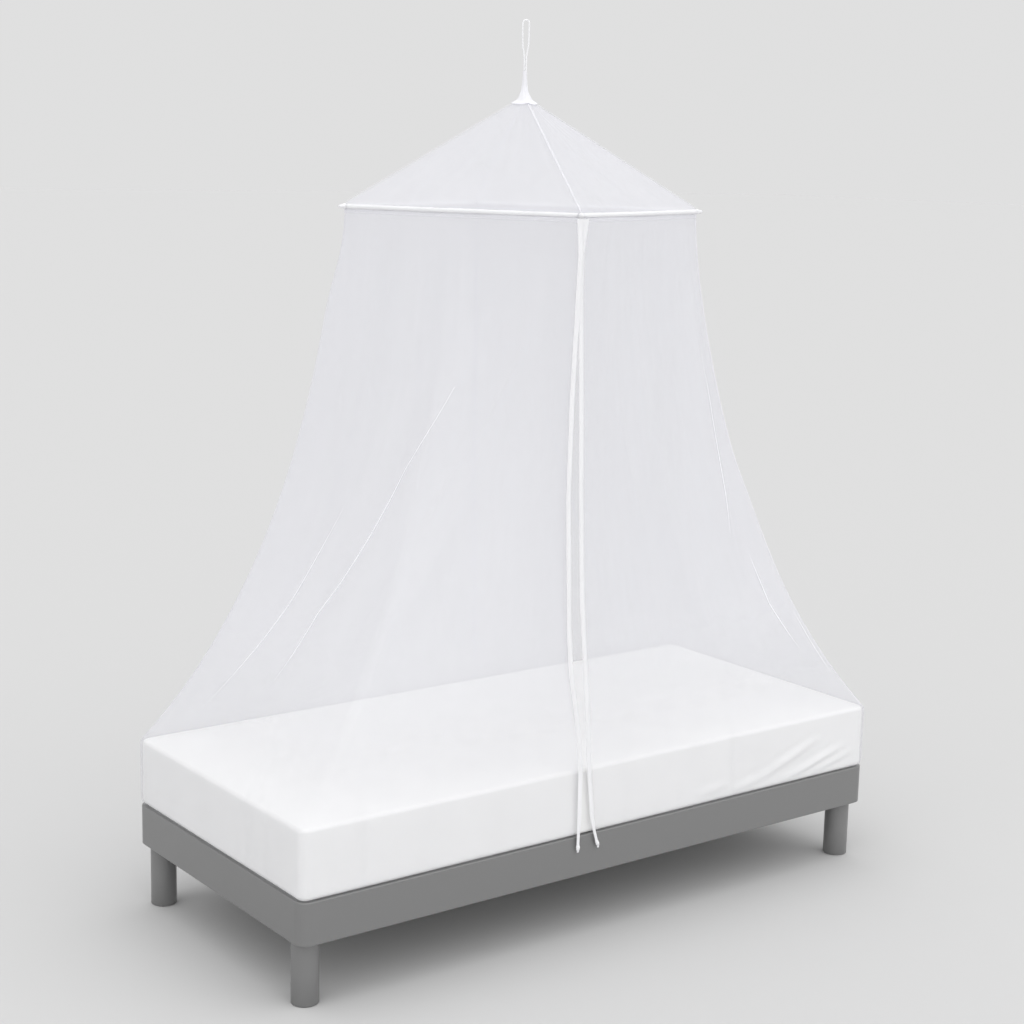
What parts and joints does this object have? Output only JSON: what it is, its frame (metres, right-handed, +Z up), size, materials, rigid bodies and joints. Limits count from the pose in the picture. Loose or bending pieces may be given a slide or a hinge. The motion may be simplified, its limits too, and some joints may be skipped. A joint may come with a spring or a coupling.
{
  "type": "mosquito net canopy over a single bed",
  "caption": "Sheer white mosquito net with a pyramid roof on a square spreader, hung by a cord loop, flaring down to tuck round the mattress of a plain grey bed and open down its front.",
  "frame": {"origin": "on the floor under the middle of the bed", "axes": "+Z up, +X along the bed towards its head, -Y towards the side with the net's front opening"},
  "size_m": [2.0067, 0.9757, 2.4723],
  "materials": {
    "net": "fine sheer white mesh with a faint blue cast",
    "white_tape": "dense matt white woven tape and cord",
    "mattress_sheet": "smooth matt white fitted sheet",
    "base_grey": "satin mid grey"
  },
  "bodies": {
    "root": {"hang_loop": "white_tape", "crown_patch": "white_tape", "roof_front_left": "net", "roof_back_left": "net", "roof_back_right": "net", "roof_front_right": "net", "ridge_tape_front": "white_tape", "ridge_tape_left": "white_tape", "ridge_tape_back": "white_tape", "ridge_tape_right": "white_tape", "sleeve_front_left": "white_tape", "sleeve_back_left": "white_tape", "sleeve_back_right": "white_tape", "sleeve_front_right": "white_tape", "corner_pocket_front": "white_tape", "corner_pocket_left": "white_tape", "corner_pocket_back": "white_tape", "corner_pocket_right": "white_tape", "wall_front_left": "net", "wall_back_left": "net", "wall_back_right": "net", "wall_front_right": "net", "opening_tape_left": "white_tape", "opening_tape_right": "white_tape", "mattress": "mattress_sheet", "bed_base": "base_grey", "leg_foot_front": "base_grey", "leg_foot_back": "base_grey", "leg_head_front": "base_grey", "leg_head_back": "base_grey"}
  },
  "joints": []
}
